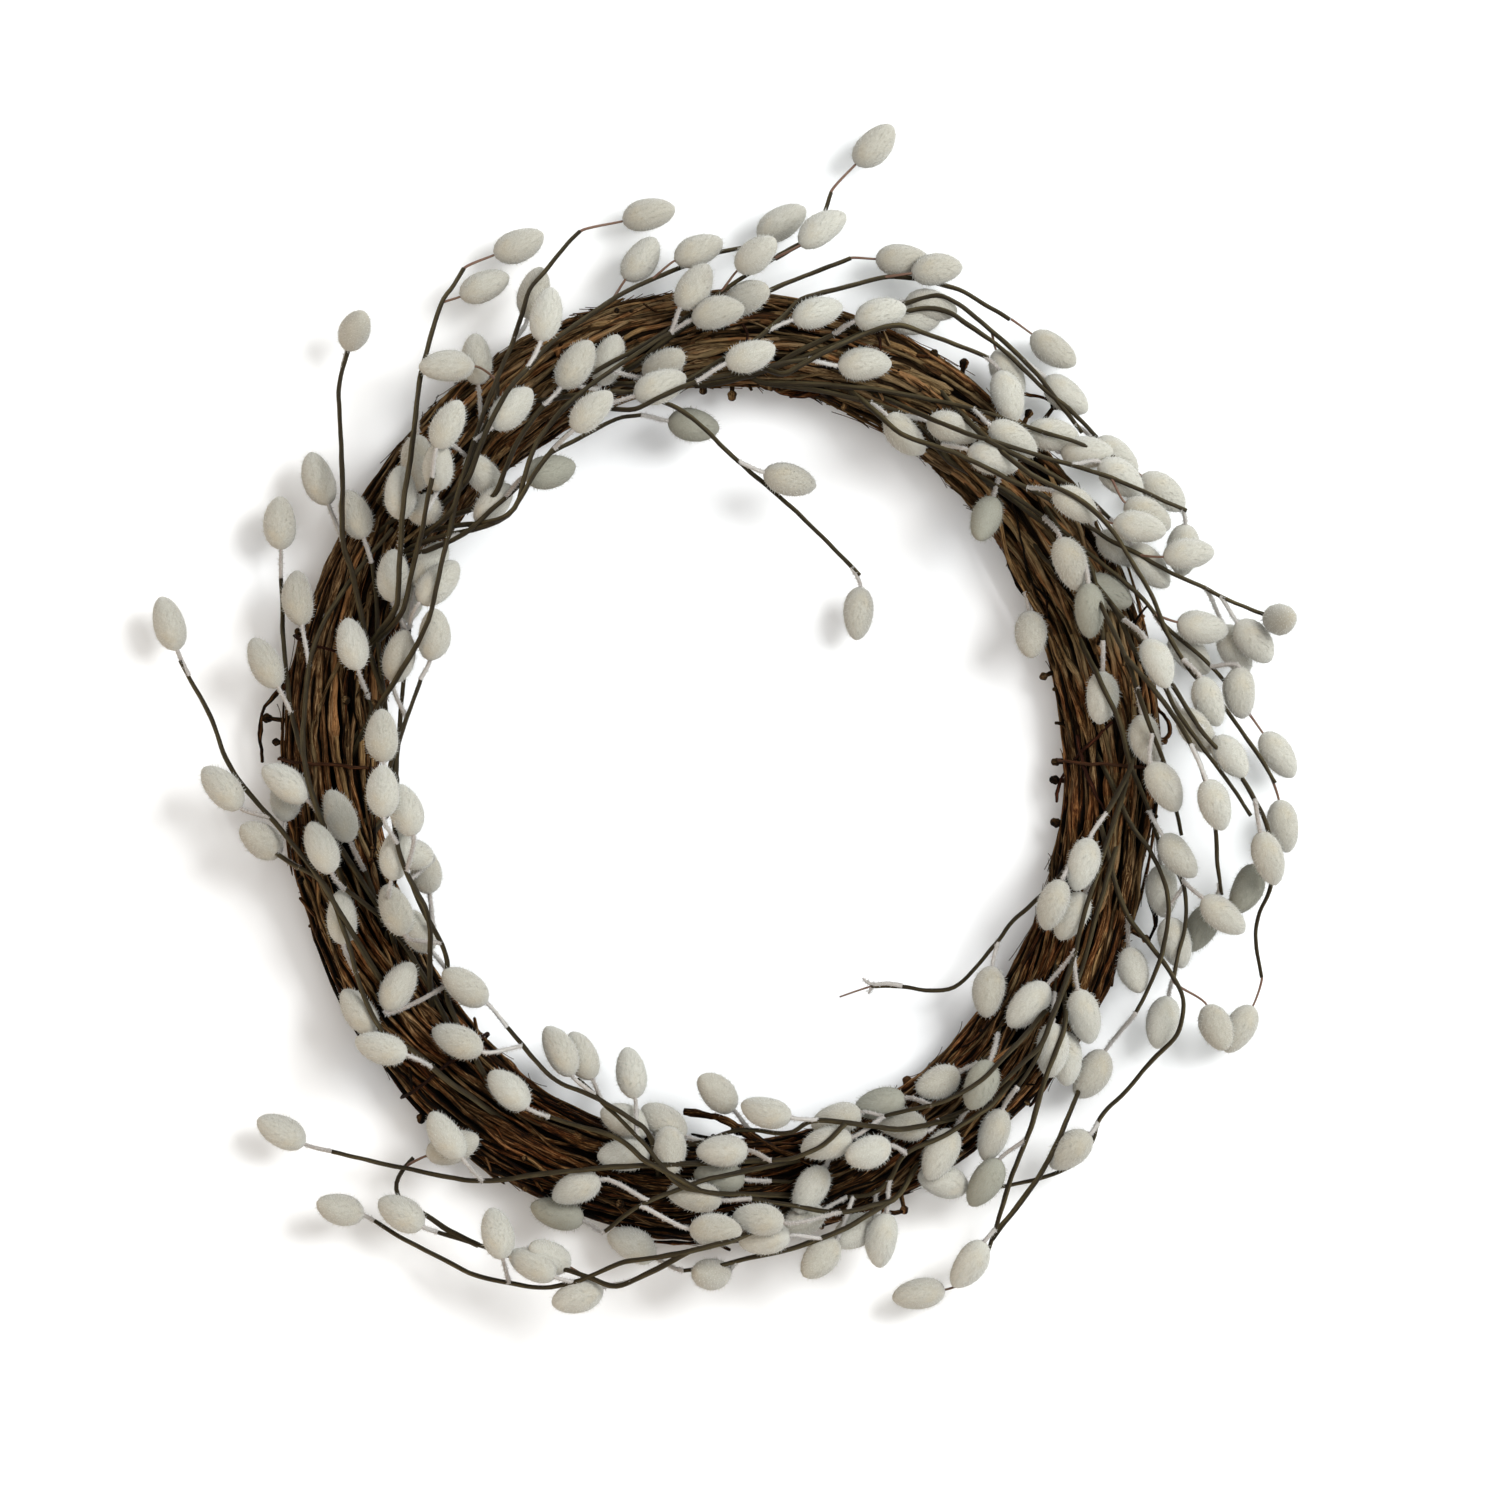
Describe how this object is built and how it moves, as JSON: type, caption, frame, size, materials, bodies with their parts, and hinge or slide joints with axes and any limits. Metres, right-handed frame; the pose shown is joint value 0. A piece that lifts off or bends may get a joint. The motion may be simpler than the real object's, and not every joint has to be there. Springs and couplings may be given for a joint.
{
  "type": "twig wreath",
  "caption": "Oval ring of wound vines dressed with sprays of pussy willow catkins that all lean clockwise, lying on its back, with an open middle.",
  "frame": {"origin": "middle of the wreath's overall box, on the surface that its back lies on", "axes": "+Z out of the wreath's face, +Y towards its top as pictured, +X to its right as pictured"},
  "size_m": [0.5754, 0.5946, 0.1124],
  "materials": {
    "inner": "dark, dry bark of the packed inner vines",
    "vine": "dry reddish-brown vine bark, matte and grooved",
    "tendril": "smooth reddish tendril",
    "spray": "cream flocked catkins with fine fuzz, on matte olive-brown stems"
  },
  "bodies": {
    "root": {"inner_vines": "inner", "loose_vine": "vine", "spray_bottom_1": "spray", "spray_bottom_10": "spray", "spray_bottom_11": "spray", "spray_bottom_2": "spray", "spray_bottom_3": "spray", "spray_bottom_4": "spray", "spray_bottom_5": "spray", "spray_bottom_6": "spray", "spray_bottom_7": "spray", "spray_bottom_8": "spray", "spray_bottom_9": "spray", "spray_left_1": "spray", "spray_left_10": "spray", "spray_left_11": "spray", "spray_left_12": "spray", "spray_left_2": "spray", "spray_left_3": "spray", "spray_left_4": "spray", "spray_left_5": "spray", "spray_left_6": "spray", "spray_left_7": "spray", "spray_left_8": "spray", "spray_left_9": "spray", "spray_right_1": "spray", "spray_right_10": "spray", "spray_right_11": "spray", "spray_right_12": "spray", "spray_right_13": "spray", "spray_right_14": "spray", "spray_right_2": "spray", "spray_right_3": "spray", "spray_right_4": "spray", "spray_right_5": "spray", "spray_right_6": "spray", "spray_right_7": "spray", "spray_right_8": "spray", "spray_right_9": "spray", "spray_top_1": "spray", "spray_top_10": "spray", "spray_top_11": "spray", "spray_top_12": "spray", "spray_top_2": "spray", "spray_top_3": "spray", "spray_top_4": "spray", "spray_top_5": "spray", "spray_top_6": "spray", "spray_top_7": "spray", "spray_top_8": "spray", "spray_top_9": "spray", "tendril_1": "tendril", "tendril_2": "tendril", "tendril_3": "tendril", "tendril_4": "tendril", "vine_1": "vine", "vine_2": "vine", "vine_3": "vine", "vine_4": "vine"}
  },
  "joints": []
}
